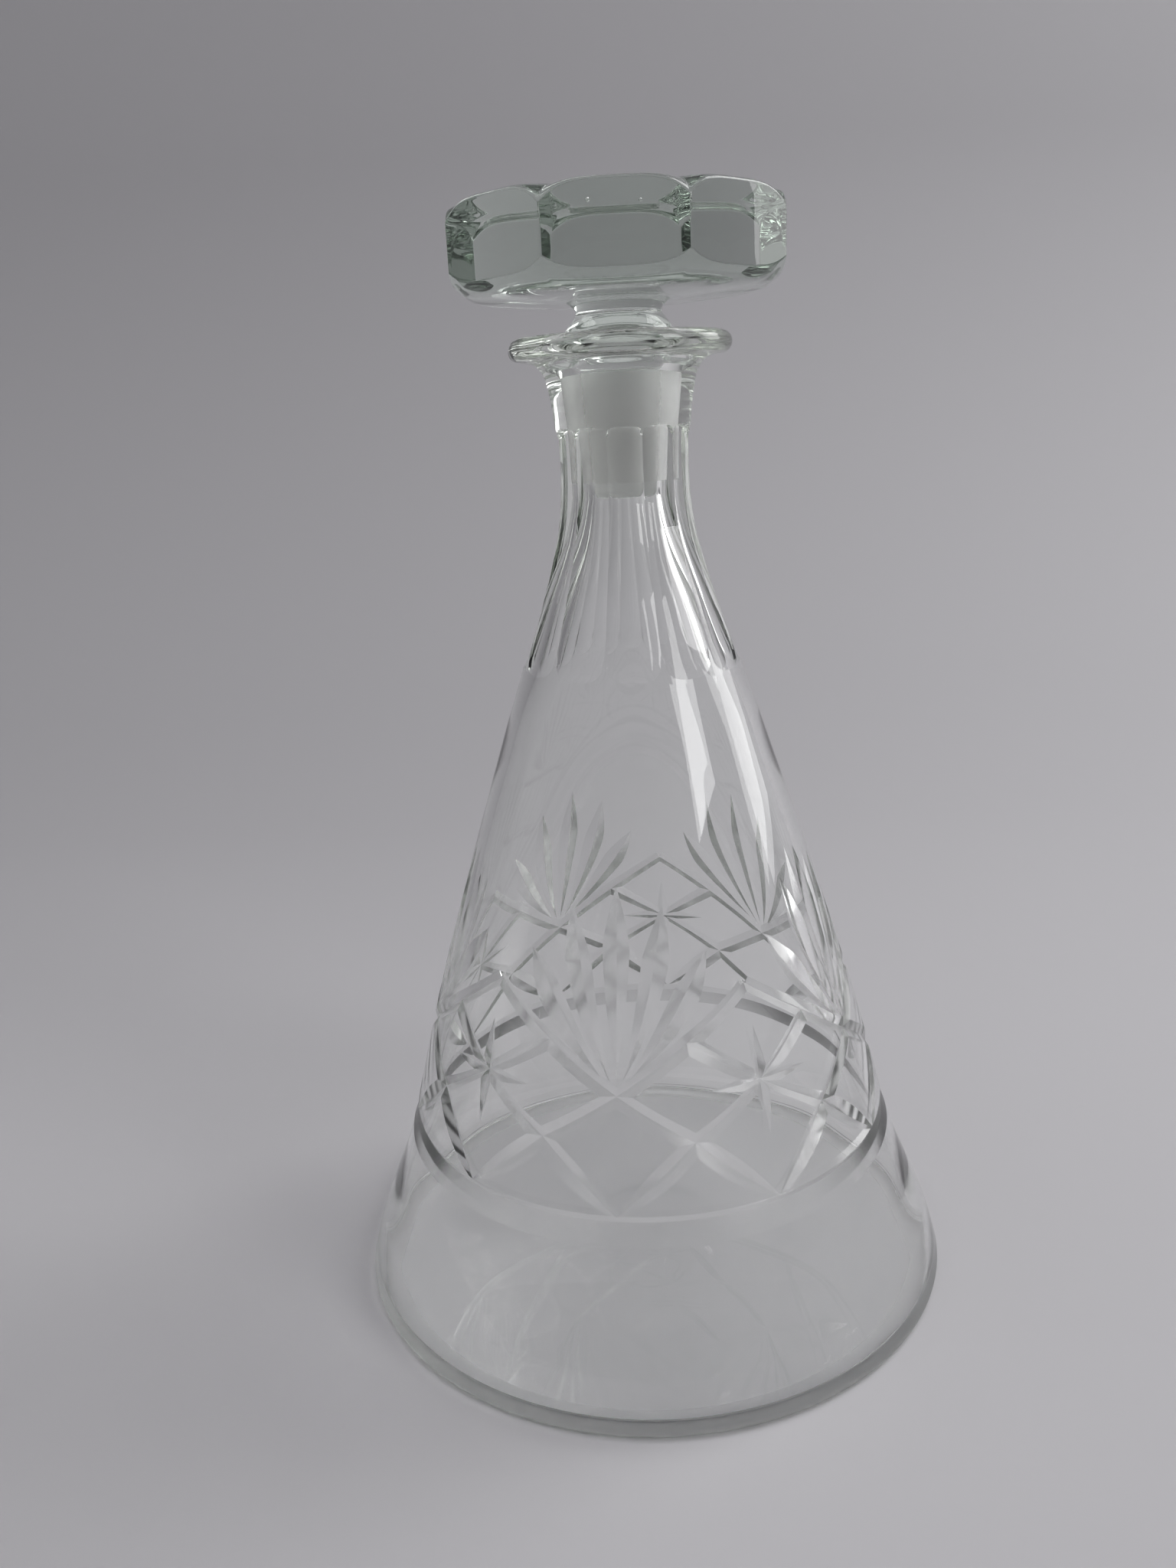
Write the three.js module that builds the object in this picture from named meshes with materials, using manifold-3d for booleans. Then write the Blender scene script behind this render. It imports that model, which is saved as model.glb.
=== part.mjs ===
// A cut-glass decanter: a broad blown bottle with a fluted neck and a tooled lip, and the solid
// faceted stopper that lifts out of it. Millimetres, +Z up, origin at the centre of the base.
// Azimuths are in degrees, counted from -Y towards +X. Outlines are lists of [radius, height].
import * as THREE from 'three';
import { mergeVertices } from 'three/addons/utils/BufferGeometryUtils.js';
import Module from 'manifold-3d';

const wasm = await Module();
wasm.setup();

// Driving dimensions of the bottle.
const BASE_RADIUS = 76;
const BASE_EDGE_RADIUS = 1.2;
const PONTIL_RADIUS = 21;
const PONTIL_DEPTH = 0.9;
const WALL = 3.0;
const FLOOR = 2.2;
const CAVITY_CORNER_RADIUS = 0.9;
const LIP_RADIUS = 25.3;
const LIP_TOP = 233.2;
const LIP_THICKNESS = 4.8;
const LIP_UNDERSIDE_RADIUS = 19.8;
const LIP_UNDERSIDE_DROP = 0.7;
const MOUTH_RADIUS = 14.2;

// The ground seat that the stopper's plug sits in, as the plug's own size.
const PLUG_BOTTOM = 197.5;
const PLUG_TOP = 226.5;
const PLUG_BOTTOM_RADIUS = 7.0;
const PLUG_TOP_RADIUS = 8.9;
const SEAT_GAP = 0.3;

// The blown outline of the body between the foot and the collar.
const BODY_OUTLINE = [
  [75.95, 1.5],
  [73.9, 9.1],
  [66.7, 26.6],
  [57.8, 57.0],
  [44.6, 102.6],
  [34.8, 133.0],
  [27.9, 153.6],
  [25.2, 161.6],
  [20.2, 178.6],
  [17.0, 190.0],
  [15.7, 201.4],
  [15.5, 210.5],
  [17.5, 224.9],
];
const BODY_OUTLINE_STEPS = 20;

// The hollow's own outlines: the narrowing above the cavity's straight wall, and the mouth's funnel.
const CAVITY_WALL_TOP = 146;
const CAVITY_SHOULDER = [
  [26.8, 148.0],
  [21.0, 162.0],
  [14.9, 177.0],
  [9.4, 189.0],
];
const CAVITY_SHOULDER_STEPS = 8;
const MOUTH_FUNNEL = [
  [10.6, 229.0],
  [12.9, 231.4],
];

// The horizontal ring cut above the foot.
const RING_TOP = 46.6;
const RING_VALLEY = 43.9;
const RING_BOTTOM = 41.2;
const RING_DEPTH = 1.2;

// The neck's twelve hollow flutes, cut side by side so that they meet in sharp ridges.
const FLUTE_COUNT = 12;
const FLUTE_FIRST_RIDGE = 16;
const FLUTE_DEPTH_RATIO = 0.042;
const FLUTE_TOP = 212.4;
const FLUTE_SHOULDER_RISE = 1.2;
const FLUTE_RUN_OUT = [
  [31.4, 156.0],
  [27.2, 159.2],
];
const RIDGE_OUTLINE = [
  [25.0, 161.9],
  [23.2, 167.2],
  [19.6, 178.6],
  [16.5, 190.0],
  [15.2, 201.4],
  [15.15, FLUTE_TOP],
];

// The cut band: five fans and five stars in a lattice of long V cuts.
const REPEATS = 5;
const REPEAT_ANGLE = 360 / REPEATS;
const FAN_AZIMUTH = -7.5;
const STAR_AZIMUTH = FAN_AZIMUTH + REPEAT_ANGLE / 2;
const MESH_ANGLE = REPEAT_ANGLE / 4;
const LATTICE_FOOT = 45.4;
const LATTICE_HEIGHTS = [92.8, 82.2, 71.5, 60.8, LATTICE_FOOT];
const CUT_HALF_ANGLE = 66;
const CUT_LIFT = 1.0;
const LEAF_END_LIFT = 0.6;
const LATTICE_DEPTH = 0.95;
const STAR_LEAF_DEPTH = 0.9;
const STAR_LEAF_HALF_HEIGHT = 13;
const STAR_LEAF_HALF_SPAN = 14.5;
const STAR_LEAF_DEEPEST = 0.5;
const STAR_LEAF_STEPS = 4;
const FAN_FOOT = 73.6;
const FAN_LEAF_DEPTH = 1.45;
const FAN_LEAF_DEEPEST = 0.68;
const FAN_LEAF_STEPS = 6;
const FAN_LEAVES = [
  { spread: 0, tip: 117.5, bend: 0 },
  { spread: 14, tip: 113.0, bend: 1.6 },
  { spread: 26.5, tip: 102.3, bend: 1.0 },
];

// Driving dimensions of the stopper: a mushroom-shaped head cut to an octagon, on a ground plug.
const HEAD_SIDES = 8;
const HEAD_CORNER_RADIUS = 38.7;
const HEAD_FLAT_RADIUS = HEAD_CORNER_RADIUS * Math.cos(Math.PI / HEAD_SIDES);
const HEAD_TOP = 260.9;
const HEAD_OUTLINE = [
  [31.0, HEAD_TOP],
  [34.7, 260.7],
  [HEAD_FLAT_RADIUS, 260.1],
  [37.5, 258.9],
  [HEAD_CORNER_RADIUS, 256.4],
  [39.9, 251.7],
  [HEAD_CORNER_RADIUS, 247.4],
  [37.5, 245.2],
  [HEAD_FLAT_RADIUS, 243.8],
  [33.5, 242.0],
  [30.5, 241.2],
];
const HEAD_OUTLINE_STEPS = 20;
const STEM_OUTLINE = [
  [14.0, 241.0],
  [11.2, 240.3],
  [10.1, 239.0],
  [10.0, 237.7],
  [9.5, 237.4],
  [10.2, 237.0],
  [11.2, 235.6],
  [12.1, 234.3],
  [12.6, 232.9],
  [12.2, 231.5],
  [10.4, 229.2],
  [9.1, 227.9],
];
const PLUG_CORNER_RADIUS = 2.3;

// How finely the round forms are divided.
const BOTTLE_SEGMENTS = 48;
const CAVITY_SEGMENTS = 36;
const FLUTE_SEGMENTS = FLUTE_COUNT * 4;
const STOPPER_SEGMENTS = 48;

// How far the solids that cut reach past the glass, and the smallest distances that count.
const CLEAR = 5;
const TOLERANCE = 0.01;
const MERGE_DISTANCE = 1e-4;

// The look of clear glass in a plain view.
const BOTTLE_COLOUR = 0xb9c8c0;
const STOPPER_COLOUR = 0xa9bab2;
const GLASS_ROUGHNESS = 0.05;

const radians = THREE.MathUtils.degToRad;

// Turns a closed geometry into a solid for joining and cutting.
function toSolid(geometry) {
  geometry.deleteAttribute('normal');
  geometry.deleteAttribute('uv');
  const merged = mergeVertices(geometry, MERGE_DISTANCE);
  const corners = merged.index.array;
  const kept = [];
  for (let i = 0; i < corners.length; i += 3) {
    const [a, b, c] = [corners[i], corners[i + 1], corners[i + 2]];
    if (a !== b && b !== c && c !== a) {
      kept.push(a, b, c);
    }
  }
  return new wasm.Manifold(new wasm.Mesh({
    numProp: 3,
    vertProperties: merged.attributes.position.array,
    triVerts: new Uint32Array(kept),
  }));
}

// A named mesh of clear glass from a finished solid.
function glassMesh(solid, name, color) {
  const { vertProperties, triVerts } = solid.getMesh();
  const geometry = new THREE.BufferGeometry();
  geometry.setAttribute('position', new THREE.BufferAttribute(vertProperties, 3));
  geometry.setIndex(new THREE.BufferAttribute(triVerts, 1));
  geometry.computeVertexNormals();
  const glass = new THREE.MeshStandardMaterial({ color, roughness: GLASS_ROUGHNESS, metalness: 0 });
  const mesh = new THREE.Mesh(geometry, glass);
  mesh.name = name;
  return mesh;
}

// An outline of [radius, height], from the bottom centre up to the top centre, turned about Z.
// The first segment's edge lies at azimuth 0.
function turned(outline, segments) {
  const points = outline.map(([radius, height]) => new THREE.Vector2(radius, height));
  return new THREE.LatheGeometry(points, segments).rotateX(Math.PI / 2);
}

// A smooth curve through outline points, as a list of [radius, height].
function smoothOutline(points, steps) {
  const curve = new THREE.SplineCurve(points.map(([radius, height]) => new THREE.Vector2(radius, height)));
  return curve.getPoints(steps).map((point) => [point.x, point.y]);
}

// An arc about [radius, height], from one angle to another in degrees, 0 pointing outwards.
function arc(centre, size, from, to, steps) {
  const points = [];
  for (let i = 0; i <= steps; i += 1) {
    const angle = radians(from + ((to - from) * i) / steps);
    points.push([centre[0] + size * Math.cos(angle), centre[1] + size * Math.sin(angle)]);
  }
  return points;
}

// The radius of an outline at a height, along straight lines between its points.
function radiusAt(outline, height) {
  for (let i = 1; i < outline.length; i += 1) {
    const [lowRadius, low] = outline[i - 1];
    const [highRadius, high] = outline[i];
    if (height <= high && high > low) {
      return THREE.MathUtils.mapLinear(height, low, high, lowRadius, highRadius);
    }
  }
  return outline.at(-1)[0];
}

const bodyOutline = smoothOutline(BODY_OUTLINE, BODY_OUTLINE_STEPS);

// The whole outer skin, from the base, over the foot, the ring cut and the neck, to the lip.
function bottleOutline() {
  const edge = [BASE_RADIUS - BASE_EDGE_RADIUS, BASE_EDGE_RADIUS];
  const ringTopRadius = radiusAt(bodyOutline, RING_TOP);
  const ringBottomRadius = radiusAt(bodyOutline, RING_BOTTOM);
  const ringValleyRadius = (ringTopRadius + ringBottomRadius) / 2 - RING_DEPTH;
  const lipEdgeRadius = LIP_THICKNESS / 2;
  const lipCentre = [LIP_RADIUS - lipEdgeRadius, LIP_TOP - lipEdgeRadius];
  const pontilHalfway = [PONTIL_RADIUS / 2, PONTIL_DEPTH * 3 / 4];
  return [
    [0, PONTIL_DEPTH],
    pontilHalfway,
    [PONTIL_RADIUS, 0],
    ...arc(edge, BASE_EDGE_RADIUS, -90, 0, 2),
    ...bodyOutline.filter(([, height]) => height < RING_BOTTOM),
    [ringBottomRadius, RING_BOTTOM],
    [ringValleyRadius, RING_VALLEY],
    [ringTopRadius, RING_TOP],
    ...bodyOutline.filter(([, height]) => height > RING_TOP),
    [LIP_UNDERSIDE_RADIUS, LIP_TOP - LIP_THICKNESS - LIP_UNDERSIDE_DROP],
    ...arc(lipCentre, lipEdgeRadius, -90, 90, 4),
    [0, LIP_TOP],
  ];
}

// The hollow inside: the cavity, the narrow way up, the ground seat and the funnel of the mouth.
function cavityOutline() {
  const foot = FLOOR + CAVITY_CORNER_RADIUS;
  const cornerCentre = [radiusAt(bodyOutline, foot) - WALL - CAVITY_CORNER_RADIUS, foot];
  const wall = bodyOutline
    .filter(([, height]) => height > foot + CAVITY_CORNER_RADIUS && height < CAVITY_WALL_TOP)
    .map(([radius, height]) => [radius - WALL, height]);
  const seatBottom = [PLUG_BOTTOM_RADIUS + SEAT_GAP, PLUG_BOTTOM];
  return [
    [0, FLOOR],
    ...arc(cornerCentre, CAVITY_CORNER_RADIUS, -90, 10, 3),
    ...wall,
    ...smoothOutline([...CAVITY_SHOULDER, seatBottom], CAVITY_SHOULDER_STEPS),
    [PLUG_TOP_RADIUS + SEAT_GAP, PLUG_TOP],
    ...MOUTH_FUNNEL,
    [MOUTH_RADIUS, LIP_TOP + TOLERANCE],
    [MOUTH_RADIUS, LIP_TOP + CLEAR],
    [0, LIP_TOP + CLEAR],
  ];
}

// The envelope that the flutes leave standing: the blown neck is cut back to it.
function fluteEnvelope() {
  const outside = BASE_RADIUS + CLEAR;
  const outline = [
    [0, -CLEAR],
    [outside, -CLEAR],
    [outside, LATTICE_HEIGHTS[0]],
    ...FLUTE_RUN_OUT,
    ...RIDGE_OUTLINE,
    [LIP_RADIUS + CLEAR, FLUTE_TOP + FLUTE_SHOULDER_RISE],
    [LIP_RADIUS + CLEAR, LIP_TOP + CLEAR],
    [0, LIP_TOP + CLEAR],
  ];
  const geometry = turned(outline, FLUTE_SEGMENTS);
  geometry.rotateZ(radians(FLUTE_FIRST_RIDGE));
  const position = geometry.attributes.position;
  const lowest = FLUTE_RUN_OUT.at(-1)[1] - TOLERANCE;
  for (let i = 0; i < position.count; i += 1) {
    const height = position.getZ(i);
    if (height > lowest && height < FLUTE_TOP + TOLERANCE) {
      const azimuth = THREE.MathUtils.radToDeg(Math.atan2(position.getX(i), -position.getY(i)));
      const across = THREE.MathUtils.euclideanModulo((azimuth - FLUTE_FIRST_RIDGE) * FLUTE_COUNT / 360, 1);
      const scale = 1 - FLUTE_DEPTH_RATIO * 4 * across * (1 - across);
      position.setXY(i, position.getX(i) * scale, position.getY(i) * scale);
    }
  }
  return toSolid(geometry);
}

// A point of the blown surface, with its outward normal.
function onSurface(azimuth, height) {
  const angle = radians(azimuth);
  const step = 1;
  const slope = (radiusAt(bodyOutline, height + step) - radiusAt(bodyOutline, height - step)) / (2 * step);
  const radius = radiusAt(bodyOutline, height);
  const outwards = new THREE.Vector3(Math.sin(angle), -Math.cos(angle), 0);
  return {
    point: outwards.clone().multiplyScalar(radius).setZ(height),
    normal: outwards.clone().setZ(-slope).normalize(),
  };
}

// One V cut: a wheel's edge drawn along a path of { azimuth, height, depth } on the surface.
function vCut(path) {
  const places = path.map(({ azimuth, height }) => onSurface(azimuth, height));
  const vertices = [];
  places.forEach(({ point, normal }, i) => {
    const before = places[Math.max(i - 1, 0)].point;
    const after = places[Math.min(i + 1, places.length - 1)].point;
    const side = new THREE.Vector3().subVectors(after, before).cross(normal).normalize();
    const reach = path[i].depth + CUT_LIFT;
    const spread = reach * Math.tan(radians(CUT_HALF_ANGLE));
    const valley = point.clone().addScaledVector(normal, -path[i].depth);
    const rim = point.clone().addScaledVector(normal, CUT_LIFT);
    vertices.push(valley, rim.clone().addScaledVector(side, spread), rim.clone().addScaledVector(side, -spread));
  });
  const triangles = [0, 1, 2];
  for (let i = 0; i < places.length - 1; i += 1) {
    for (let k = 0; k < 3; k += 1) {
      const a = 3 * i + k;
      const b = 3 * i + ((k + 1) % 3);
      triangles.push(a, a + 3, b, b, a + 3, b + 3);
    }
  }
  const end = 3 * (places.length - 1);
  triangles.push(end, end + 2, end + 1);
  return new wasm.Manifold(new wasm.Mesh({
    numProp: 3,
    vertProperties: new Float32Array(vertices.flatMap((vertex) => vertex.toArray())),
    triVerts: new Uint32Array(triangles),
  }));
}

// A long lattice cut through given levels of the lattice, a mesh angle further at each level.
function latticeCut(azimuth, firstLevel, direction) {
  const path = [];
  LATTICE_HEIGHTS.slice(firstLevel).forEach((height, i) => {
    path.push({ azimuth: azimuth + direction * MESH_ANGLE * i, height, depth: LATTICE_DEPTH });
  });
  const halves = path.slice(1).flatMap((place, i) => [
    {
      azimuth: (place.azimuth + path[i].azimuth) / 2,
      height: (place.height + path[i].height) / 2,
      depth: LATTICE_DEPTH,
    },
    place,
  ]);
  return vCut([path[0], ...halves]);
}

// A leaf-shaped cut: its ends run out above the surface, and it is deepest part of the way along.
function leafCut(placeAt, depth, deepest, steps) {
  const path = [];
  for (let i = 0; i <= steps; i += 1) {
    const along = i / steps;
    const swell = along < deepest ? along / deepest : (1 - along) / (1 - deepest);
    const eased = Math.sqrt(swell * (2 - swell));
    path.push({ ...placeAt(along), depth: (depth + LEAF_END_LIFT) * eased - LEAF_END_LIFT });
  }
  return vCut(path);
}

// Five leaves that spread upwards from one crossing of the lattice.
function fanCuts(azimuth) {
  const cuts = [];
  for (const { spread, tip, bend } of FAN_LEAVES) {
    for (const side of spread ? [-1, 1] : [1]) {
      const placeAt = (along) => ({
        azimuth: azimuth + side * (spread * along + bend * 4 * along * (1 - along)),
        height: THREE.MathUtils.lerp(FAN_FOOT, tip, along),
      });
      cuts.push(leafCut(placeAt, FAN_LEAF_DEPTH, FAN_LEAF_DEEPEST, FAN_LEAF_STEPS));
    }
  }
  return cuts;
}

// An upright and a level leaf over a crossing, which the lattice makes into an eight-pointed star.
function starCuts(azimuth) {
  const centre = LATTICE_HEIGHTS[2];
  const upright = (along) => ({ azimuth, height: centre + STAR_LEAF_HALF_HEIGHT * (2 * along - 1) });
  const level = (along) => ({ azimuth: azimuth + STAR_LEAF_HALF_SPAN * (2 * along - 1), height: centre });
  return [upright, level].map((placeAt) => (
    leafCut(placeAt, STAR_LEAF_DEPTH, STAR_LEAF_DEEPEST, STAR_LEAF_STEPS)
  ));
}

function bottle() {
  let solid = toSolid(turned(bottleOutline(), BOTTLE_SEGMENTS));
  solid = solid.intersect(fluteEnvelope());
  for (let i = 0; i < REPEATS; i += 1) {
    const fan = FAN_AZIMUTH + REPEAT_ANGLE * i;
    const star = STAR_AZIMUTH + REPEAT_ANGLE * i;
    const cuts = [...fanCuts(fan), ...starCuts(star)];
    for (const direction of [-1, 1]) {
      cuts.push(latticeCut(star, 0, direction));
      cuts.push(latticeCut(star - direction * MESH_ANGLE, 1, direction));
    }
    for (const cut of cuts) {
      solid = solid.subtract(cut);
    }
  }
  solid = solid.subtract(toSolid(turned(cavityOutline(), CAVITY_SEGMENTS)));
  return glassMesh(solid, 'bottle', BOTTLE_COLOUR);
}

// The head's round blank and the plug in one outline, from the plug's end up to the crown.
function stopperOutline() {
  const corner = [PLUG_BOTTOM_RADIUS - PLUG_CORNER_RADIUS, PLUG_BOTTOM + PLUG_CORNER_RADIUS];
  return [
    [0, PLUG_BOTTOM],
    ...arc(corner, PLUG_CORNER_RADIUS, -90, 0, 3),
    [PLUG_TOP_RADIUS, PLUG_TOP],
    ...STEM_OUTLINE.toReversed(),
    ...smoothOutline(HEAD_OUTLINE.toReversed(), HEAD_OUTLINE_STEPS),
    [0, HEAD_TOP],
  ];
}

function stopper() {
  const blank = toSolid(turned(stopperOutline(), STOPPER_SEGMENTS));
  const flats = new THREE.CylinderGeometry(HEAD_CORNER_RADIUS, HEAD_CORNER_RADIUS, HEAD_TOP, HEAD_SIDES);
  flats.rotateX(Math.PI / 2);
  flats.rotateZ(Math.PI / HEAD_SIDES);
  flats.translate(0, 0, HEAD_TOP / 2 + CLEAR);
  return glassMesh(blank.intersect(toSolid(flats)), 'stopper', STOPPER_COLOUR);
}

const decanter = new THREE.Group();
decanter.add(bottle(), stopper());

export default decanter;
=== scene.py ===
# %% [markdown]
# # A cut-glass decanter
# The object is a broad blown bottle of clear glass and the solid stopper that is ground into its mouth.
# Both are transparent, so every surface counts twice: the eye looks through the front wall at the back one.
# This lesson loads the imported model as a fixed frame, makes each piece again with its cuts and its ground
# and polished finishes, and lights it so that clear glass can be read.

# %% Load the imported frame
import math

import bmesh
import bpy
import numpy as np
from mathutils import Matrix, Vector, noise
from mathutils.bvhtree import BVHTree
from mathutils.interpolate import poly_3d_calc


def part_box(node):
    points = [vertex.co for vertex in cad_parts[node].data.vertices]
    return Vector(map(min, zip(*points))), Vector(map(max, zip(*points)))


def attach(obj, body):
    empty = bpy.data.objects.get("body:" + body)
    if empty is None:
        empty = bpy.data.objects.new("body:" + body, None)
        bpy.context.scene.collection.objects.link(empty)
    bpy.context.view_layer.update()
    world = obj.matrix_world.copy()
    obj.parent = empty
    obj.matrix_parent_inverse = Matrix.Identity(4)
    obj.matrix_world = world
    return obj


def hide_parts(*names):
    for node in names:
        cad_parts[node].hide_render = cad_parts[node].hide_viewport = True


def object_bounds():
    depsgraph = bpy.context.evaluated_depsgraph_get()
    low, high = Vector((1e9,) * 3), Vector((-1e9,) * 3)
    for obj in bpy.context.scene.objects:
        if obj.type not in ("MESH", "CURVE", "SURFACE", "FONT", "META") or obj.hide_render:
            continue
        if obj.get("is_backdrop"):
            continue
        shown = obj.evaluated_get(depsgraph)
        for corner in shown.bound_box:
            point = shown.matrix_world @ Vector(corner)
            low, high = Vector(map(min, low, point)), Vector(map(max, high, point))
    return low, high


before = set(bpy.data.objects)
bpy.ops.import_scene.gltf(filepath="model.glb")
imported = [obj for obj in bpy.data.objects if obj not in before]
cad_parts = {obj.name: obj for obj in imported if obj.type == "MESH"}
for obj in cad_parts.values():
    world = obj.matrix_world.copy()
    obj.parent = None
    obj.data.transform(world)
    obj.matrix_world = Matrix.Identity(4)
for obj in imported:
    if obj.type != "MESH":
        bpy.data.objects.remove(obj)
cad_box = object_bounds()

MM = 0.001
for node in ("bottle", "stopper"):
    low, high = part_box(node)
    print(node, "from", [round(v / MM, 1) for v in low], "to", [round(v / MM, 1) for v in high], "mm")

# %% [markdown]
# ## The camera
# The camera comes first, because it says which sides need the finest work. Its place and lens were worked
# out from circles that are level on the object: the foot, the ring cut, the ends of the flutes and the lip.
# It stands 300 mm in front of the axis, a little above the neck's middle, and looks down at 16 degrees.

# %% Camera
FRAME_HEIGHT = 2048
FOCAL_PIXELS = 1642
CAMERA_PLACE = Vector((0.0, -300.35, 215.84)) * MM
LOOK_DOWN = math.radians(16.25)
TURN_LEFT = math.radians(2.28)
TILT = math.radians(2.78)
SENSOR_WIDTH = 36

camera_data = bpy.data.cameras.new("camera")
camera_data.sensor_width = SENSOR_WIDTH
camera_data.lens = FOCAL_PIXELS / FRAME_HEIGHT * SENSOR_WIDTH
camera = bpy.data.objects.new("camera", camera_data)
bpy.context.scene.collection.objects.link(camera)
aim = Matrix.Rotation(TURN_LEFT, 4, "Z") @ Matrix.Rotation(math.pi / 2 - LOOK_DOWN, 4, "X")
camera.matrix_world = Matrix.Translation(CAMERA_PLACE) @ aim @ Matrix.Rotation(-TILT, 4, "Z")
bpy.context.scene.camera = camera
print("lens", round(camera_data.lens, 2), "mm")

# %% [markdown]
# ## Smooth outlines
# A glass blower's outline has no corners in its curvature, and a reflection shows any that a model has.
# Straight lines between measured points have such corners, and so have most quick curves. A cubic spline
# whose bends are solved for all points at once passes through each one with its curvature unbroken.

# %% A flowing line through measured points


def flowing(points, steps):
    """Even steps along the smoothest curve through [radius, height] points in millimetres."""
    knots = np.array(points, float)
    gaps = np.linalg.norm(np.diff(knots, axis=0), axis=1)
    along = np.concatenate(([0.0], np.cumsum(gaps)))
    system = np.eye(len(knots))
    pulls = np.zeros_like(knots)
    for i in range(1, len(knots) - 1):
        system[i, i - 1 : i + 2] = gaps[i - 1], 2 * (gaps[i - 1] + gaps[i]), gaps[i]
        pulls[i] = 6 * ((knots[i + 1] - knots[i]) / gaps[i] - (knots[i] - knots[i - 1]) / gaps[i - 1])
    bends = np.linalg.solve(system, pulls)
    line = []
    for distance in np.linspace(0, along[-1], steps + 1):
        i = min(np.searchsorted(along, distance, side="right") - 1, len(gaps) - 1)
        before, after, gap = along[i + 1] - distance, distance - along[i], gaps[i]
        bent = (bends[i] * before**3 + bends[i + 1] * after**3) / (6 * gap)
        straight = (knots[i] / gap - bends[i] * gap / 6) * before
        straight += (knots[i + 1] / gap - bends[i + 1] * gap / 6) * after
        line.append(tuple(bent + straight))
    return line


def arc(centre, size, start, end, steps):
    """Points on an arc about [radius, height], from one angle to another in degrees, 0 outwards."""
    angles = np.radians(np.linspace(start, end, steps + 1))
    return [(centre[0] + size * math.cos(a), centre[1] + size * math.sin(a)) for a in angles]


# %% The blown body's outline
BODY = [
    (75.95, 1.5),
    (73.9, 9.1),
    (66.7, 26.6),
    (57.8, 57.0),
    (44.6, 102.6),
    (34.8, 133.0),
    (27.9, 153.6),
    (25.2, 161.6),
    (20.2, 178.6),
    (17.0, 190.0),
    (15.7, 201.4),
    (15.5, 210.5),
    (15.9, 216.8),
    (16.5, 220.6),
]
BODY_STEPS = 84
body_line = flowing(BODY, BODY_STEPS)
body_radii, body_heights = np.array(body_line).T


def body_radius(height):
    """The blown skin's radius at a height, in millimetres."""
    return float(np.interp(height, body_heights, body_radii))


print("body", len(body_line), "points, waist", round(min(body_radii), 1), "mm")

# %% [markdown]
# ## Solids of revolution
# A blown and turned shape is an outline spun about the upright axis. The spin operator makes it from a row
# of points and edges, and its seam and poles are closed by merging. Each face also carries two numbers,
# one for a ground surface and one for a cut one, so that a single glass material can finish them apart.
# One material matters here: light has to enter and leave a closed body of glass through the same one.

# %% Spin an outline into a closed solid
WELD = 1e-6


def spun(outline, segments, closed=False):
    """A solid of revolution about the axis, as a bmesh, from an outline in millimetres."""
    shape = bmesh.new()
    corners = [shape.verts.new((radius * MM, 0, height * MM)) for radius, height in outline]
    pairs = list(zip(corners, corners[1:]))
    if closed:
        pairs.append((corners[-1], corners[0]))
    edges = [shape.edges.new(pair) for pair in pairs]
    bmesh.ops.spin(
        shape,
        geom=corners + edges,
        angle=math.tau,
        steps=segments,
        axis=(0, 0, 1),
        cent=(0, 0, 0),
        use_merge=True,
    )
    bmesh.ops.remove_doubles(shape, verts=shape.verts, dist=WELD)
    bmesh.ops.recalc_face_normals(shape, faces=shape.faces)
    return shape


def azimuth_of(spot):
    """The azimuth of a place in degrees, from -Y towards +X."""
    return math.degrees(math.atan2(spot.x, -spot.y))


def finished(shape, ground=0.0, cut=0.0):
    """Writes how a tool or a piece leaves its surface, on every face."""
    for name, value in (("ground", ground), ("cut", cut)):
        layer = shape.faces.layers.float.get(name) or shape.faces.layers.float.new(name)
        for face in shape.faces:
            face[layer] = value
    return shape


def as_object(shape, name):
    """Puts a bmesh into a new object at the origin."""
    mesh = bpy.data.meshes.new(name)
    shape.to_mesh(mesh)
    shape.free()
    made = bpy.data.objects.new(name, mesh)
    bpy.context.scene.collection.objects.link(made)
    return made


# %% [markdown]
# ## The bottle's blank
# Before any cutting, the bottle is a plain blown shape: a flat ground foot with a polished hollow in its
# middle, a rounded edge, the cone, the shoulder, and a thick lip that was tooled while it was soft.
# The outer ring of the foot is a little matt, from grinding and wear, and turns clear towards the middle.
# Without it the rim would only mirror its own inside and look black. Hot glass is never true, so its skin
# gets waves far too low to see, which still make the reflections swim, and the lip gets the deeper marks
# of the tool that pressed it.

# %% Spin the blank
BASE_RADIUS = 76.0
BASE_EDGE = 1.2
BASE_EDGE_END = 12
BASE_EDGE_STEPS = 8
FOOT_RINGS = [30.0, 45.0, 60.0, 65.0, 66.0, 67.0, 68.0, 69.0, 70.0, 71.0, 72.0, 73.0]
PONTIL_RADIUS = 21.0
PONTIL_DEPTH = 0.9
PONTIL_STEPS = 6
WORN_START = 65.5
WORN_FULL = 71.0
WORN = 0.7
LIP_RADIUS = 25.3
LIP_TOP = 233.2
LIP_THICKNESS = 4.8
LIP_STEPS = 12
LIP_DISC = [(20.0, LIP_TOP + 0.05), (16.0, LIP_TOP), (8.0, LIP_TOP), (0.0, LIP_TOP)]
UNDER_LIP = [(16.5, 220.6), (17.5, 224.9), (19.1, 227.2), (21.4, 228.2), (22.9, 228.4)]
UNDER_LIP_STEPS = 10
BLANK_SEGMENTS = 240

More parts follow.
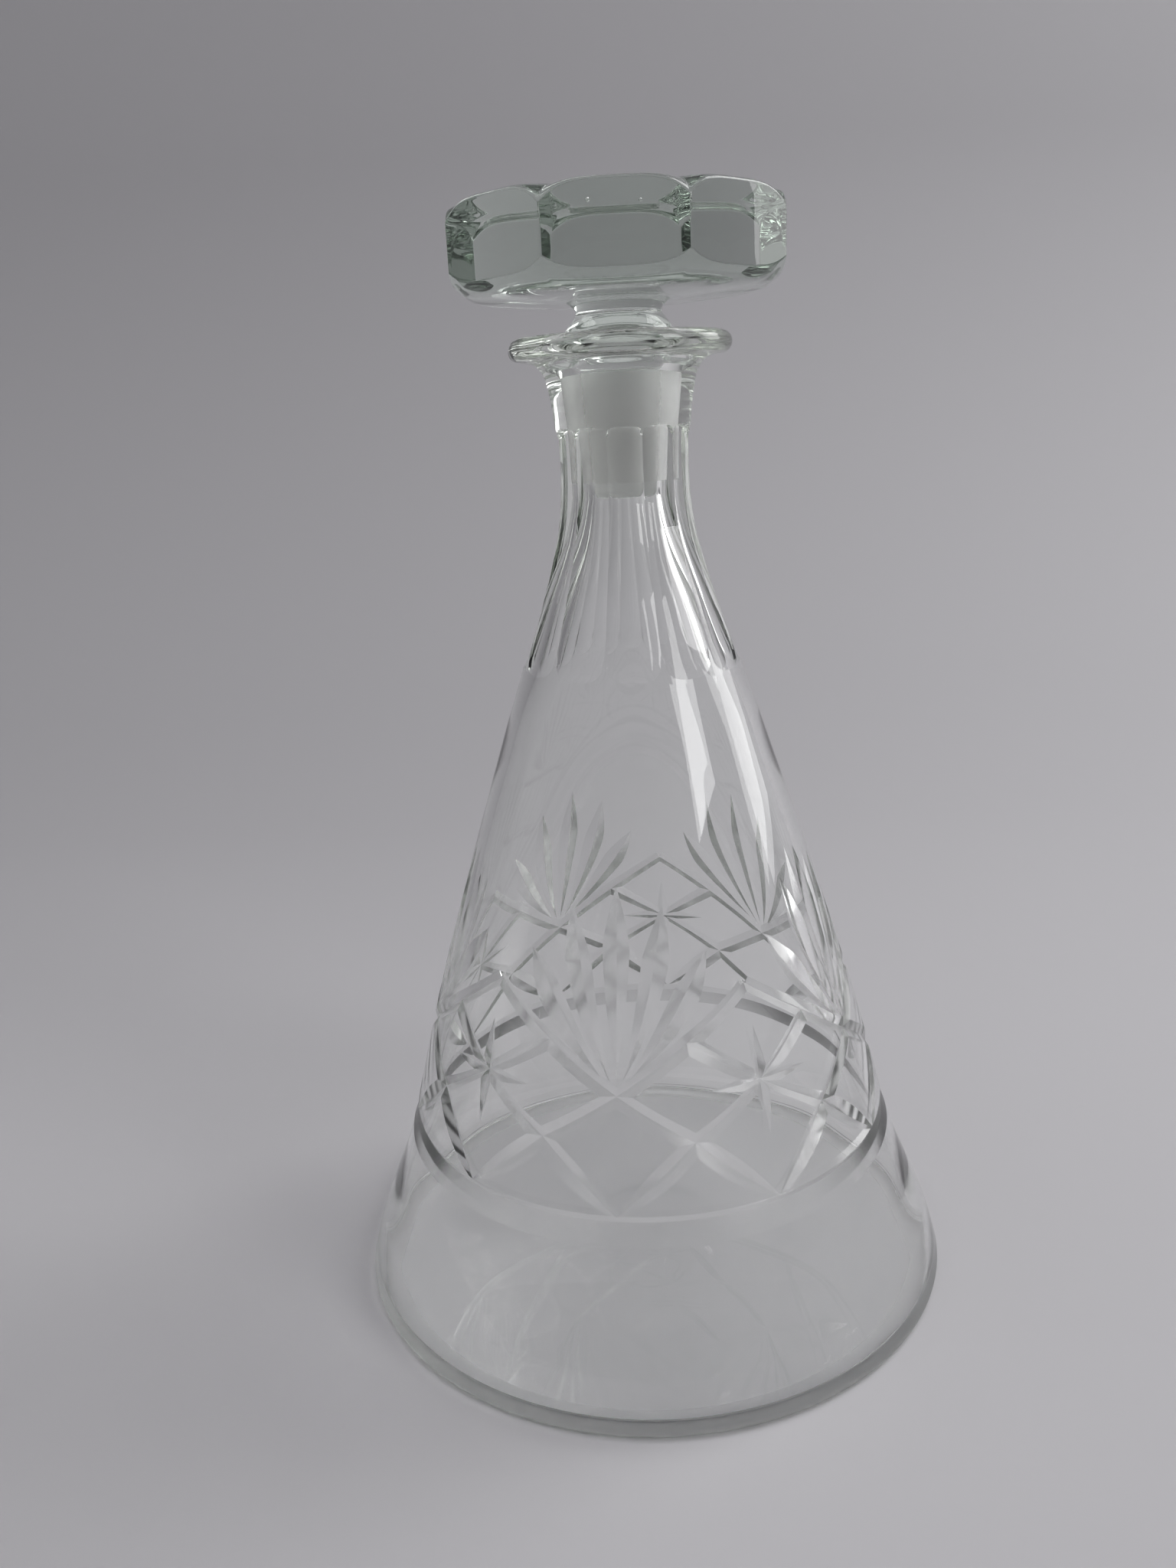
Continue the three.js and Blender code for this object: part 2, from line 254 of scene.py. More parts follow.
lip_edge = LIP_THICKNESS / 2
shares = [i / PONTIL_STEPS for i in range(PONTIL_STEPS + 1)]
pontil = [(PONTIL_RADIUS * share, PONTIL_DEPTH * (1 - share**2)) for share in shares]
foot = [(ring, 0.0) for ring in FOOT_RINGS]
foot += arc((BASE_RADIUS - BASE_EDGE, BASE_EDGE), BASE_EDGE, -90, BASE_EDGE_END, BASE_EDGE_STEPS)
under_lip = flowing(UNDER_LIP, UNDER_LIP_STEPS)[1:-1]
lip = arc((LIP_RADIUS - lip_edge, LIP_TOP - lip_edge), lip_edge, -90, 90, LIP_STEPS)
blank = spun(pontil + foot + body_line + under_lip + lip + LIP_DISC, BLANK_SEGMENTS)
print("blank", len(blank.faces), "faces")

# %% Give the blown skin its waves and the lip its tool marks
SKIN_WAVE = 0.05 * MM
SKIN_WAVE_LENGTH = 24 * MM
SKIN_WAVE_HEIGHTS = (3, 12)
TOOL_WAVE = 0.34 * MM
TOOL_WAVE_LENGTH = 4.2 * MM
TOOLED_SIDE = -98.0
TOOLED_SPREAD = (12, 60)
TOOLED_LEAST = 0.1
SEED_Y = 2.3
SEED_Z = 0.7
LIP_HEIGHTS = (226.5, 229)
LIP_RADII = (17, 21)
FOOT_FACES = 0.1


def fade(value, start, end):
    """0 before start and 1 after end, with a smooth rise between."""
    share = min(max((value - start) / (end - start), 0.0), 1.0)
    return share * share * (3 - 2 * share)


def wave(spot, length, seed):
    """Smooth seeded noise from about -1 to 1."""
    return noise.noise(spot / length + Vector((seed, SEED_Y * seed, SEED_Z * seed)))


# %% Move the skin
blank.normal_update()
moves = []
for vert in blank.verts:
    height = vert.co.z / MM
    from_tooled = abs((azimuth_of(vert.co) - TOOLED_SIDE + 180) % 360 - 180)
    tooled = TOOLED_LEAST + (1 - TOOLED_LEAST) * (1 - fade(from_tooled, *TOOLED_SPREAD))
    on_lip = fade(height, *LIP_HEIGHTS) * fade(vert.co.xy.length / MM, *LIP_RADII)
    shift = SKIN_WAVE * fade(height, *SKIN_WAVE_HEIGHTS) * wave(vert.co, SKIN_WAVE_LENGTH, 1)
    shift += TOOL_WAVE * tooled * on_lip * wave(vert.co, TOOL_WAVE_LENGTH, 2)
    moves.append((vert, vert.normal * shift))
for vert, shift in moves:
    vert.co += shift
blank.normal_update()
blank.faces.ensure_lookup_table()
blank_tree = BVHTree.FromBMesh(blank)
shape = finished(blank.copy())
ground_layer = shape.faces.layers.float["ground"]
for face in shape.faces:
    place = face.calc_center_median() / MM
    if place.z < FOOT_FACES:
        face[ground_layer] = WORN * fade(place.xy.length, WORN_START, WORN_FULL)
bottle = as_object(shape, "decanter_bottle")
print("lip marks up to", round(TOOL_WAVE / MM, 2), "mm deep")

# %% [markdown]
# ## Cutting tools
# Every cut on the bottle was ground by a wheel, so every cut here is a closed tool that is taken away from
# the blank with a Boolean modifier. Painting the cuts as bump would leave the outline and the refraction
# untouched, and cut glass lives by both. The tools of one kind go into one mesh as long as none of them
# touch, which keeps the number of Booleans low.

# %% Take a tool away from a piece


def carve(piece, tool, operation="DIFFERENCE"):
    """Cuts the piece with a closed tool, keeps the finish numbers of both, and puts the tool away."""
    cutter = piece.modifiers.new(tool.name, "BOOLEAN")
    cutter.solver = "MANIFOLD"
    cutter.operation = operation
    cutter.object = tool
    bpy.context.view_layer.update()
    carved = bpy.data.meshes.new_from_object(piece.evaluated_get(bpy.context.evaluated_depsgraph_get()))
    piece.modifiers.clear()
    worn, piece.data = piece.data, carved
    print(f"{piece.name}: {len(carved.polygons)} faces after its {operation.lower()} with {tool.name}")
    bpy.data.meshes.remove(worn)
    bpy.data.meshes.remove(tool.data)


# %% [markdown]
# ## The neck's flutes
# Twelve hollow flutes run from the shoulder to the collar. Each is as wide as a twelfth of the neck, so
# neighbours meet in a sharp ridge, and each ends in a round-cornered U where the wheel was lifted off.
# Twelve separate wheels would leave slivers along the ridges. One round envelope does the same: its radius
# is what the flutes leave standing, and the blank is cut back to it. The flutes were polished clear again,
# so their faces carry a low cut number, which keeps their edges crisp and their surface clear.

# %% What the flutes leave standing
FLUTES = 12
FLUTE_STEPS = 20
FIRST_RIDGE = 16.0
HOLLOW_SHARES = [(158.0, 0.034), (172.0, 0.042), (190.0, 0.046)]
RUN_OUT_SLOPE = 0.33
RUN_OUT_BLEND = 0.6
SHOULDER_SLOPE = 2.0
SHOULDER_BLEND = 0.4
FLUTE_LOW = 153.0
FLUTE_FOOT = 158.2
FLUTE_FOOT_ROUND = 5.0
FLUTE_HEAD = 213.6
FLUTE_HEAD_ROUND = 1.8
FLUTE_HIGH = 216.0
RIDGES = [
    (27.9, FLUTE_LOW),
    (25.0, 161.9),
    (23.2, 167.2),
    (19.6, 178.6),
    (16.5, 190.0),
    (15.2, 201.4),
    (15.15, 212.4),
]
RIDGE_STEPS = 50
ENVELOPE_FOOT = [(0, -5), (90, -5), (90, 140)]
ENVELOPE_ROWS = 70.0
ENVELOPE_HEAD = [(60, 217), (60, 240), (0, 240)]
RIDGE_END = (15.6, FLUTE_HIGH)
FLUTE_FOOT_ROWS = [155.0, 156.5, *np.arange(157.5, 164.5, 0.4)]
FLUTE_LONG_ROWS = np.arange(165.5, 210.5, 1.8)
FLUTE_HEAD_ROWS = np.arange(211.0, 214.6, 0.3)
ROW_SLACK = 0.1
POLISHED = 0.15
ridge_radii, ridge_heights = np.array([*flowing(RIDGES, RIDGE_STEPS), RIDGE_END]).T


def larger(a, b, blend):
    """The larger of two numbers, with a soft change from one to the other."""
    return (a + b + math.sqrt((a - b) ** 2 + blend**2)) / 2


def flute_radius(across, height):
    """What the flutes leave standing, in millimetres. across is 0 and 1 on the ridges."""
    depth = float(np.interp(height, *np.transpose(HOLLOW_SHARES))) * 4 * across * (1 - across)
    hollow = float(np.interp(height, ridge_heights, ridge_radii)) * (1 - depth)
    corner = 1 - (1 - abs(2 * across - 1) ** 3) ** (1 / 3)
    run_out = body_radius(height) + RUN_OUT_SLOPE * (FLUTE_FOOT + FLUTE_FOOT_ROUND * corner - height)
    shoulder = body_radius(height) + SHOULDER_SLOPE * (height - FLUTE_HEAD + FLUTE_HEAD_ROUND * corner)
    return larger(larger(hollow, run_out, RUN_OUT_BLEND), shoulder, SHOULDER_BLEND)


# %% Cut the flutes
flute_heights = [FLUTE_LOW, *FLUTE_FOOT_ROWS, *FLUTE_LONG_ROWS, *FLUTE_HEAD_ROWS, FLUTE_HIGH]
rows = [(ENVELOPE_ROWS, height) for height in flute_heights]
envelope = spun(ENVELOPE_FOOT + rows + ENVELOPE_HEAD, FLUTES * FLUTE_STEPS)
first_turn = Matrix.Rotation(math.radians(FIRST_RIDGE - 90), 3, "Z")
bmesh.ops.rotate(envelope, verts=envelope.verts, cent=(0, 0, 0), matrix=first_turn)
for vert in envelope.verts:
    if FLUTE_LOW - ROW_SLACK < vert.co.z / MM < FLUTE_HIGH + ROW_SLACK:
        across = (azimuth_of(vert.co) - FIRST_RIDGE) * FLUTES / 360 % 1
        outward = Vector((vert.co.x, vert.co.y, 0)).normalized()
        upright = vert.co.z
        vert.co = outward * flute_radius(across, upright / MM) * MM
        vert.co.z = upright
carve(bottle, as_object(finished(envelope, cut=POLISHED), "flutes"), "INTERSECT")

# %% [markdown]
# ## The ring cut and the long cuts
# A V-edged wheel makes every other cut. Its tool is a three-cornered section that is drawn along a path on
# the blown skin: one corner runs below the surface and makes the valley, the other two run above it. Where
# the path lies deeper the cut is wider, which is all that tells a leaf from a plain groove.

# %% A V cut along a path
HALF_ANGLE = math.radians(66)
LIFT = 1.0
SAME_PLACE = 1e-9


def skin_at(azimuth, height):
    """A place on the blown skin in millimetres, and the direction straight out of it."""
    angle = math.radians(azimuth)
    outward = Vector((math.sin(angle), -math.cos(angle), 0))
    slope = (body_radius(height + 1) - body_radius(height - 1)) / 2
    place = outward * body_radius(height)
    place.z = height
    outward.z = -slope
    return place, outward.normalized()


def v_cut(tool, path):
    """Adds a V-shaped bar to a tool, along rows of (azimuth, height, depth)."""
    places = [skin_at(azimuth, height) for azimuth, height, depth in path]
    sections = []
    for i, (place, out) in enumerate(places):
        ahead = places[min(i + 1, len(places) - 1)][0] - places[max(i - 1, 0)][0]
        side = ahead.cross(out).normalized()
        depth = path[i][2]
        reach = (depth + LIFT) * math.tan(HALF_ANGLE)
        rim = place + out * LIFT
        sections.append([(place - out * depth) * MM, (rim + side * reach) * MM, (rim - side * reach) * MM])
    ring = [tool.verts.new(corner) for corner in sections[0]]
    edges = [tool.edges.new((ring[k], ring[(k + 1) % 3])) for k in range(3)]
    tool.faces.new(ring)
    for before, after in zip(sections, sections[1:]):
        grown = bmesh.ops.extrude_edge_only(tool, edges=edges)["geom"]
        for vert in [part for part in grown if isinstance(part, bmesh.types.BMVert)]:
            nearest = min(range(3), key=lambda k: (before[k] - vert.co).length)
            vert.co = after[nearest]
        front = [part for part in grown if isinstance(part, bmesh.types.BMEdge) and not part.is_manifold]
        edges = []
        for edge in front:
            if all(min((vert.co - corner).length for corner in after) < SAME_PLACE for vert in edge.verts):
                edges.append(edge)
    bmesh.ops.edgeloop_fill(tool, edges=edges)


def v_tool(paths, name):
    """One tool of several V cuts that don't touch each other."""
    tool = bmesh.new()
    for path in paths:
        v_cut(tool, path)
    bmesh.ops.recalc_face_normals(tool, faces=tool.faces)
    return as_object(finished(tool, cut=1.0), name)


# %% The ring cut above the foot
RING = [46.6, 43.9, 41.2]
RING_DEPTH = 1.2
RING_OUT = 3.0
ring_slope = (RING[0] - RING[2]) / 2 / RING_DEPTH
valley = body_radius(RING[1]) - RING_DEPTH
ring_section = [
    (valley, RING[1]),
    (body_radius(RING[0]) + RING_OUT, RING[0] + ring_slope * RING_OUT),
    (body_radius(RING[2]) + RING_OUT, RING[2] - ring_slope * RING_OUT),
]
ring_tool = finished(spun(ring_section, BLANK_SEGMENTS, closed=True), cut=1.0)
carve(bottle, as_object(ring_tool, "ring_cut"))

# %% [markdown]
# ## The lattice, the fans and the stars
# The band repeats five times round the bottle. Long slanting cuts cross in two directions and leave
# lozenges. Each fan is five leaves that spread upwards from a crossing. Each star has an upright and a
# level leaf over a crossing, so that with the two lattice cuts through it it shows eight points.
# The lattice thins out where it passes a star, and swells into a leaf just above the ring.

# %% Where the pattern repeats
REPEATS = 5
REPEAT = 360 / REPEATS
FAN_AZIMUTH = -7.5
STAR_AZIMUTH = FAN_AZIMUTH + REPEAT / 2
MESH = REPEAT / 4
LEVELS = [92.8, 82.2, 71.5, 60.8, 45.4]
OUTER_DEPTHS = [0.75, 0.95, 0.95, 1.0, 0.1]
STAR_DEPTHS = [0.95, 0.6, 1.0, 0.1]
LAST_SWELL = 0.35
PATH_STEPS = 40
repeats = [REPEAT * i for i in range(REPEATS)]


def lattice_path(azimuth, first_level, direction, depths):
    """A slanting cut through the levels of the lattice, with a deeper place in its last stretch."""
    path = []
    for i, (height, depth) in enumerate(zip(LEVELS[first_level:], depths)):
        place = (azimuth + direction * MESH * i, height, depth)
        if path:
            swell = LAST_SWELL if height == LEVELS[-1] else 0.0
            for share in np.arange(1, PATH_STEPS) / PATH_STEPS:
                azimuth_between = path_start[0] + (place[0] - path_start[0]) * share
                height_between = path_start[1] + (place[1] - path_start[1]) * share
                depth_between = path_start[2] + (place[2] - path_start[2]) * share**2
                depth_between += swell * math.sin(math.pi * share)
                path.append((azimuth_between, height_between, depth_between))
        path.append(place)
        path_start = place
    return path


# %% Cut the lattice
for direction, name in ((1, "lattice_rising"), (-1, "lattice_falling")):
    paths = []
    for turn in repeats:
        paths.append(lattice_path(STAR_AZIMUTH + turn, 0, direction, OUTER_DEPTHS))
        paths.append(lattice_path(STAR_AZIMUTH + turn - direction * MESH, 1, direction, STAR_DEPTHS))
    carve(bottle, v_tool(paths, name))

# %% The stars' and the fans' leaves
STAR_HEIGHT = 14.0
STAR_SPAN = 15.5
STAR_DEPTH = 0.9
STAR_DEEPEST = 0.5
FAN_FOOT = 71.9
FAN_DEPTH = 1.45
FAN_DEEPEST = 0.68
FAN_LEAVES = [
    (0, 117.5, 0),
    (14, 113.0, 1.6),
    (-14, 113.0, -1.6),
    (26.5, 102.3, 1.0),
    (-26.5, 102.3, -1.0),
]
LEAF_STEPS = 48
LEAF_CURVE = 1.4
LEAF_END_LIFT = 0.2


def leaf_path(start, end, depth, deepest, bend=0.0):
    """A pointed leaf from one (azimuth, height) to another, deepest part of the way along."""
    path = []
    for i in range(LEAF_STEPS + 1):
        share = i / LEAF_STEPS
        swell = share / deepest if share < deepest else (1 - share) / (1 - deepest)
        eased = 1 - (1 - swell) ** LEAF_CURVE
        path.append((
            start[0] + (end[0] - start[0]) * share + bend * 4 * share * (1 - share),
            start[1] + (end[1] - start[1]) * share,
            (depth + LEAF_END_LIFT) * eased - LEAF_END_LIFT,
        ))
    return path


# %% Cut the stars and the fans
middle = LEVELS[2]
uprights = []
levels = []
for turn in repeats:
    star = STAR_AZIMUTH + turn
    low_tip, high_tip = (star, middle - STAR_HEIGHT), (star, middle + STAR_HEIGHT)
    left_tip, right_tip = (star - STAR_SPAN, middle), (star + STAR_SPAN, middle)
    uprights.append(leaf_path(low_tip, high_tip, STAR_DEPTH, STAR_DEEPEST))
    levels.append(leaf_path(left_tip, right_tip, STAR_DEPTH, STAR_DEEPEST))
carve(bottle, v_tool(uprights, "star_uprights"))
carve(bottle, v_tool(levels, "star_levels"))
for spread, tip, bend in FAN_LEAVES:
    leaves = []
    for turn in repeats:
        fan = FAN_AZIMUTH + turn
        leaves.append(leaf_path((fan, FAN_FOOT), (fan + spread, tip), FAN_DEPTH, FAN_DEEPEST, bend))
    carve(bottle, v_tool(leaves, f"fan_leaf_{spread}"))

# %% [markdown]
# ## The hollow
# The drink's room follows the skin at the wall's thickness, and narrows to the ground seat that holds the
# plug. It is taken out last, as one more tool, so that the wall is real glass with two faces. The seat is
# ground matt, the rest of the hollow has the soft waves of blown glass.

# %% The hollow's outline
WALL = 3.0
FLOOR = 2.2
CORNER = 0.9
CORNER_END = 14
CORNER_STEPS = 12
FLOOR_SHARES = (0, 0.33, 0.66)
WALL_HEIGHTS = (9.5, 24, 40, 60, 80, 100, 120, 135, 148)
SHOULDER_INSIDE = [(21.0, 162), (14.9, 177), (9.4, 189)]
INSIDE_STEPS = 68
INSIDE_WAVE = 1.2 * SKIN_WAVE
INSIDE_CALM = (180, 196)
HOLLOW_SEGMENTS = 160
PLUG_BOTTOM = 197.5
PLUG_TOP = 226.5
PLUG_BOTTOM_RADIUS = 7.0
PLUG_TOP_RADIUS = 8.9
SEAT_GAP = 0.3
SEAT_GROUND_LOW = 200.0
SEAT_STEPS = 8
MOUTH_RADIUS = 14.2
FUNNEL = [(10.4, 229.2), (12.4, 231.8), (MOUTH_RADIUS, LIP_TOP + 0.3)]
FUNNEL_STEPS = 6
ABOVE_LIP = LIP_TOP + 4

corner_top = FLOOR + CORNER
corner_centre = (body_radius(corner_top) - WALL - CORNER, corner_top)
seat_low = (PLUG_BOTTOM_RADIUS + SEAT_GAP, PLUG_BOTTOM)
seat_high = (PLUG_TOP_RADIUS + SEAT_GAP, PLUG_TOP)
inner_wall = [(body_radius(height) - WALL, height) for height in WALL_HEIGHTS]
inner_line = flowing([*inner_wall, *SHOULDER_INSIDE, seat_low], INSIDE_STEPS)
mouth = flowing([seat_high, *FUNNEL], FUNNEL_STEPS)[1:]
seat_run = np.array(seat_high) - seat_low
seat = [tuple(np.array(seat_low) + seat_run * i / SEAT_STEPS) for i in range(1, SEAT_STEPS + 1)]
hollow_floor = [(corner_centre[0] * share, FLOOR) for share in FLOOR_SHARES]
hollow_corner = arc(corner_centre, CORNER, -90, CORNER_END, CORNER_STEPS)
above = [(MOUTH_RADIUS, ABOVE_LIP), (0, ABOVE_LIP)]
hollow_line = hollow_floor + hollow_corner + inner_line + seat + mouth + above
print("hollow", len(hollow_line), "points")

# %% Cut the hollow and the seat
hollow = spun(hollow_line, HOLLOW_SEGMENTS)
hollow.normal_update()
moves = []
for vert in hollow.verts:
    height = vert.co.z / MM
    shift = INSIDE_WAVE * (1 - fade(height, *INSIDE_CALM)) * wave(vert.co, SKIN_WAVE_LENGTH, 3)
    moves.append((vert, vert.normal * shift))
for vert, shift in moves:
    vert.co += shift
finished(hollow)
ground_layer = hollow.faces.layers.float["ground"]
for face in hollow.faces:
    height = face.calc_center_median().z / MM
    if SEAT_GROUND_LOW < height < PLUG_TOP:
        face[ground_layer] = 1.0
carve(bottle, as_object(hollow, "hollow"))

# %% [markdown]
# ## Crisp cuts on a smooth skin
# Glass shows its shading more than its faces. Edges where two finishes meet are marked sharp, so each cut
# keeps its own flat shading. But a cut also leaves odd-sized faces on the skin around it, whose averaged
# directions are off by half a degree, enough to break a reflection. So the corners of skin faces take
# their direction from the uncut blank instead, read at the nearest place on it.

# %% Smooth the skin and keep the cuts crisp
SHARP_ANGLE = math.radians(24)
CUT_WELD = 2e-6
FINISH_STEP = 0.1
ON_BLANK = 0.02 * MM
SKIN_LOW = 3 * MM
SKIN_HIGH = 219 * MM


def shade(piece, tree, source, lowest, highest):
    """Marks sharp edges, and gives uncut skin between two heights the blank's own directions."""
    mesh = piece.data
    shape = bmesh.new()
    shape.from_mesh(mesh)
    bmesh.ops.remove_doubles(shape, verts=shape.verts, dist=CUT_WELD)
    cut = shape.faces.layers.float["cut"]
    ground = shape.faces.layers.float["ground"]
    open_edges = 0
    for edge in shape.edges:
        if len(edge.link_faces) != 2:
            open_edges += 1
            continue
        one, other = edge.link_faces
        cut_differs = abs(one[cut] - other[cut]) > FINISH_STEP
        ground_differs = abs(one[ground] - other[ground]) > FINISH_STEP
        folded = edge.calc_face_angle(0.0) >= SHARP_ANGLE
        edge.smooth = not (cut_differs or ground_differs or folded)
    for face in shape.faces:
        face.smooth = True
    shape.to_mesh(mesh)
    shape.free()
    directions = [Vector(corner.vector) for corner in mesh.corner_normals]
    changed = 0
    for face in mesh.polygons:
        on_skin = mesh.attributes["cut"].data[face.index].value < FINISH_STEP
        if not (on_skin and lowest < face.center.z < highest):
            continue
        for corner in face.loop_indices:
            spot = mesh.vertices[mesh.loops[corner].vertex_index].co
            near, _, index, distance = tree.find_nearest(spot)
            if distance < ON_BLANK:
                corners = source.faces[index].verts
                weights = poly_3d_calc([v.co for v in corners], near)
                blended = sum((v.normal * w for v, w in zip(corners, weights)), Vector())
                if blended.dot(directions[corner]) > 0:
                    directions[corner] = blended.normalized()
                    changed += 1
    mesh.normals_split_custom_set(directions)
    print(piece.name, changed, "corners follow the blank;", open_edges, "open edges")


# %% Shade the bottle
shade(bottle, blank_tree, blank, SKIN_LOW, SKIN_HIGH)
blank.free()

# %% [markdown]
# ## The stopper
# One solid piece of glass: a plug ground to fit the seat, a short stem with a rounded collar, and a low
# mushroom-shaped head that was cut to an octagon. The head is nearly level above and below and turns over
# close to its edge, so that each flat is a rectangle with well rounded corners. Slicing a round head with
# eight planes would leave splinters where the planes cross its rings. So the head's rings are spun at the
# corners' radius and then drawn in to the octagon, with a rise or a drop at each corner. That keeps every
# face a clean four-sided one, and a narrow bevel along the edges is the polisher's touch. While they are
# spun, the head's rings stand at marks far above the stem, which say what each ring becomes.

# %% The head's outline
HEAD_SIDES = 8
HEAD_CORNER = 38.7
HEAD_FLAT = HEAD_CORNER * math.cos(math.pi / HEAD_SIDES)
HEAD_NECK = 14.0
CROWN_START = 14.0
HEAD_TOP = 260.9
LOWER_DOME = [
    (HEAD_NECK, 240.75),
    (24.0, 240.9),
    (30.0, 241.25),
    (33.0, 242.0),
    (34.8, 243.1),
    (HEAD_FLAT, 244.0),
]
UPPER_DOME = [
    (CROWN_START, HEAD_TOP),
    (22.0, 260.9),
    (28.0, 260.89),
    (32.0, 260.85),
    (34.0, 260.72),
    (35.1, 260.45),
    (HEAD_FLAT, 260.05),
]
LOWER_CORNER_RISE = 2.5
UPPER_CORNER_DROP = 3.6
CORNER_NARROWNESS = 6
HEAD_SEGMENTS = 192
DOME_STEPS = 60
DOME_RINGS = 20
DOME_CROWDING = 0.6
SIDE_RINGS = 6
CROWN_RINGS = (CROWN_START, 9.0, 4.5, 0.0)
UNDER_MARK = 300.0
SIDE_MARK = 320.0
OVER_MARK = 340.0
HALF_MARK = 0.5
low_radii, low_heights = np.array(flowing(LOWER_DOME, DOME_STEPS)).T
top_radii, top_heights = np.array(flowing(UPPER_DOME, DOME_STEPS)).T


def octagon(azimuth):
    """The head's radius to its flats at an azimuth, in millimetres."""
    step = 360 / HEAD_SIDES
    off = (azimuth + step / 2) % step - step / 2
    return HEAD_FLAT / math.cos(math.radians(off))


print("head", round(2 * HEAD_FLAT, 1), "mm over its flats,", 2 * HEAD_CORNER, "mm over its corners")

# %% The plug and the stem
STEM = [
    (PLUG_TOP_RADIUS, PLUG_TOP),
    (9.3, 227.6),
    (10.6, 229.3),
    (12.0, 231.2),
    (12.5, 232.9),
    (12.0, 234.6),
    (11.1, 235.9),
    (10.2, 237.0),
    (9.7, 237.7),
    (9.9, 238.7),
    (10.9, 239.9),
    (HEAD_NECK, 240.75),
]
STEM_STEPS = 40
PLUG_EDGE = 2.3
PLUG_EDGE_STEPS = 6
PLUG_STEPS = 8
PLUG_END = [(0, PLUG_BOTTOM), (3, PLUG_BOTTOM)]

plug_corner = (PLUG_BOTTOM_RADIUS - PLUG_EDGE, PLUG_BOTTOM + PLUG_EDGE)
plug = PLUG_END + arc(plug_corner, PLUG_EDGE, -90, 0, PLUG_EDGE_STEPS)
plug_low = np.array((PLUG_BOTTOM_RADIUS, PLUG_BOTTOM + PLUG_EDGE))
plug_high = np.array((PLUG_TOP_RADIUS, PLUG_TOP))
plug += [tuple(plug_low + (plug_high - plug_low) * i / PLUG_STEPS) for i in range(1, PLUG_STEPS)]
print("plug", len(plug), "points")

# %% Spin the stopper and draw the head in to its flats
reach = HEAD_CORNER - HEAD_NECK
rings = [HEAD_NECK + reach * (i / DOME_RINGS) ** DOME_CROWDING for i in range(1, DOME_RINGS + 1)]
under = [(ring, UNDER_MARK + i) for i, ring in enumerate(rings)]
side = [(HEAD_CORNER, SIDE_MARK + i) for i in range(1, SIDE_RINGS)]
over = [(ring, OVER_MARK + i) for i, ring in enumerate(reversed(rings))]
crown = [(ring, HEAD_TOP) for ring in CROWN_RINGS]
stopper_line = plug + flowing(STEM, STEM_STEPS) + under + side + over + crown
stopper_shape = spun(stopper_line, HEAD_SEGMENTS)
for vert in stopper_shape.verts:
    mark = vert.co.z / MM
    if mark < UNDER_MARK - HALF_MARK:
        continue
    limit = octagon(azimuth_of(vert.co))
    outness = (vert.co.xy.length / MM - HEAD_NECK) / reach
    drawn = HEAD_NECK + outness * (limit - HEAD_NECK)
    on_flat = HEAD_NECK + outness * (HEAD_FLAT - HEAD_NECK)
    past_flat = (limit - HEAD_FLAT) / (HEAD_CORNER - HEAD_FLAT)
    cornered = outness**CORNER_NARROWNESS * past_flat**2
    lowest = float(np.interp(on_flat, low_radii, low_heights)) + LOWER_CORNER_RISE * cornered
    highest = float(np.interp(on_flat, top_radii, top_heights)) - UPPER_CORNER_DROP * cornered
    if mark < SIDE_MARK - HALF_MARK:
        share = 0.0
    elif mark > OVER_MARK - HALF_MARK:
        share = 1.0
    else:
        share = (mark - SIDE_MARK) / SIDE_RINGS
    outward = Vector((vert.co.x, vert.co.y, 0)).normalized() * drawn
    vert.co = Vector((outward.x, outward.y, lowest + (highest - lowest) * share)) * MM
bmesh.ops.recalc_face_normals(stopper_shape, faces=stopper_shape.faces)
print("stopper", len(stopper_shape.faces), "faces before its bevels")

# %% Round the edges of the flats
EDGE_ROUND = 0.32 * MM
EDGE_SEGMENTS = 3
EDGE_PROFILE = 0.5
EDGE_LOW = 242 * MM
EDGE_IN = 34 * MM
EDGE_ANGLE = math.radians(14)
flat_edges = []
for edge in stopper_shape.edges:
    on_head = edge.verts[0].co.z > EDGE_LOW and edge.verts[0].co.xy.length > EDGE_IN
    if on_head and edge.is_manifold and edge.calc_face_angle(0.0) > EDGE_ANGLE:
        flat_edges.append(edge)
bmesh.ops.bevel(
    stopper_shape,
    geom=flat_edges,
    offset=EDGE_ROUND,
    offset_type="OFFSET",
    segments=EDGE_SEGMENTS,
    profile=EDGE_PROFILE,
    affect="EDGES",
    material=-1,
    clamp_overlap=True,
)
print("bevelled", len(flat_edges), "edges")

# %% Grind the plug and polish the flats
PLUG_GROUND_LOW = PLUG_BOTTOM + 0.2
FLATS_OUT = 35.5 * MM
UPRIGHT = 0.02
finished(stopper_shape)
ground_layer = stopper_shape.faces.layers.float["ground"]
cut_layer = stopper_shape.faces.layers.float["cut"]
for face in stopper_shape.faces:
    place = face.calc_center_median()
    if PLUG_GROUND_LOW < place.z / MM < PLUG_TOP:
        face[ground_layer] = 1.0
    elif place.xy.length > FLATS_OUT and abs(face.normal.z) < UPRIGHT:
        face[cut_layer] = POLISHED
    face.smooth = True
print("ground", sum(face[ground_layer] > 0 for face in stopper_shape.faces), "faces of the plug")

